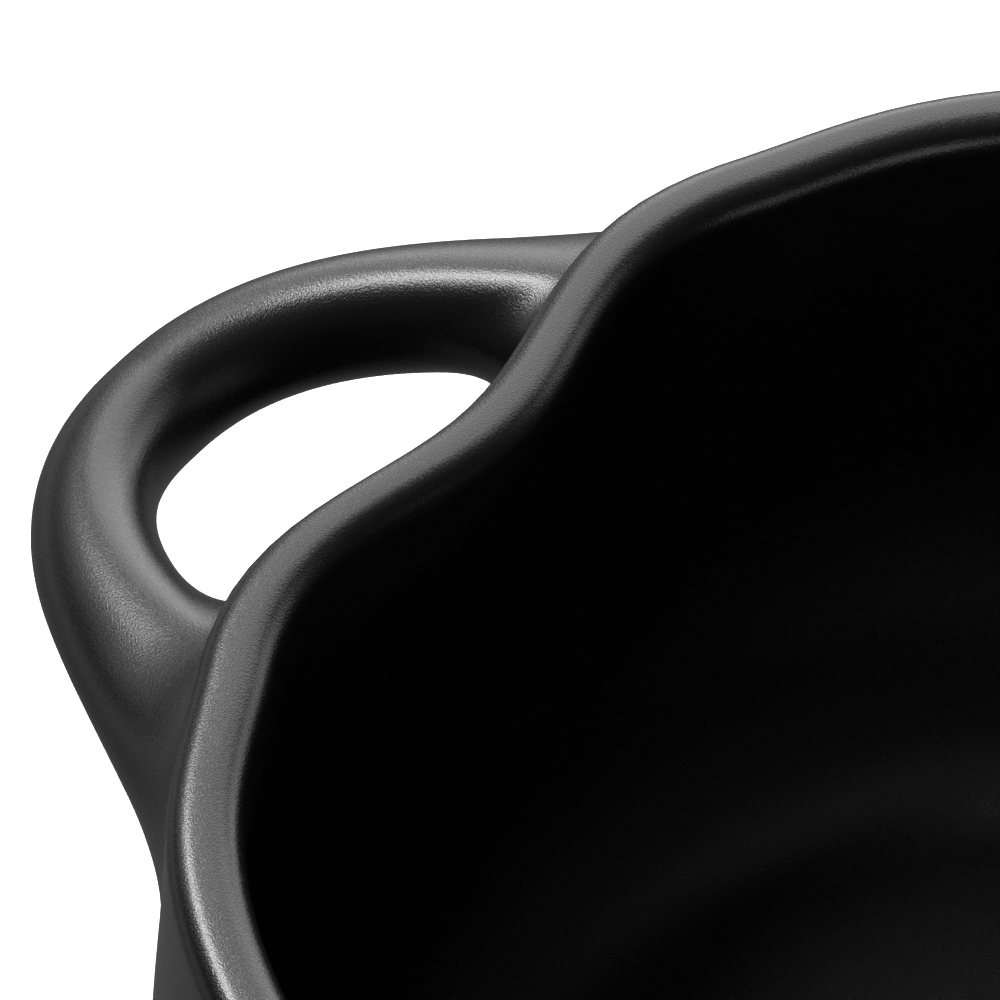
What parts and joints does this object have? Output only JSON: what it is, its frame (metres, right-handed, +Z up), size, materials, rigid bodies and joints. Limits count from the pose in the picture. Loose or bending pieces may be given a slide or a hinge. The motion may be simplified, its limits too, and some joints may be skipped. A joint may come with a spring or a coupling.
{
  "type": "ceramic cocotte",
  "caption": "Round bellied ceramic cooking pot with a thick rim, pressed sides behind loop handles and a loose domed lid, for stewing and baking.",
  "frame": {"origin": "centre of the pot's flat base, on the table", "axes": "+Z up out of the pot's mouth, +X through the right-hand handle, +Y towards the lid on the table"},
  "size_m": [0.3392, 0.5238, 0.12],
  "materials": {
    "pot_glaze": "satin black glaze",
    "handle_glaze": "satin black glaze",
    "lid_glaze": "satin black glaze",
    "knob_glaze": "satin black glaze"
  },
  "bodies": {
    "pot": {"pot_body": "pot_glaze", "handle_left": "handle_glaze", "handle_right": "handle_glaze"},
    "cover": {"lid": "lid_glaze", "lid_knob": "knob_glaze"}
  },
  "joints": [
    {"name": "lid_lift", "type": "slide", "parent": "pot", "child": "cover", "axis": [0, 0, 1], "range_m": [0, 0.15]}
  ]
}
